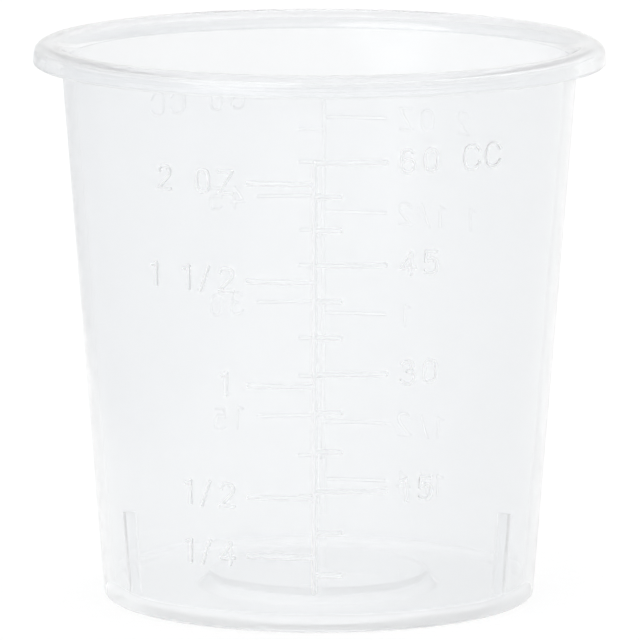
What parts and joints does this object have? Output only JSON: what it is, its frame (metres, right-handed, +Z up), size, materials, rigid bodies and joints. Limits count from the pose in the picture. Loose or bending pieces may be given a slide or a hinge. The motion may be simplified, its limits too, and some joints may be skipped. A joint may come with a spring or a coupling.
{
  "type": "medicine cup",
  "caption": "Clear graduated medicine cup with a tapered wall, a turned-out rim with a short skirt, a raised middle of the floor, stacking ribs inside and raised scale lines front and back.",
  "frame": {"origin": "middle of the plane the cup stands on", "axes": "+Z up along the cup's axis, -Y towards the front scale, +X to the right of that scale as it is read"},
  "size_m": [0.0534, 0.0534, 0.0522],
  "materials": {
    "body": "clear moulded polypropylene, faintly hazy, glossy"
  },
  "bodies": {
    "root": {"cup": "body"}
  },
  "joints": []
}
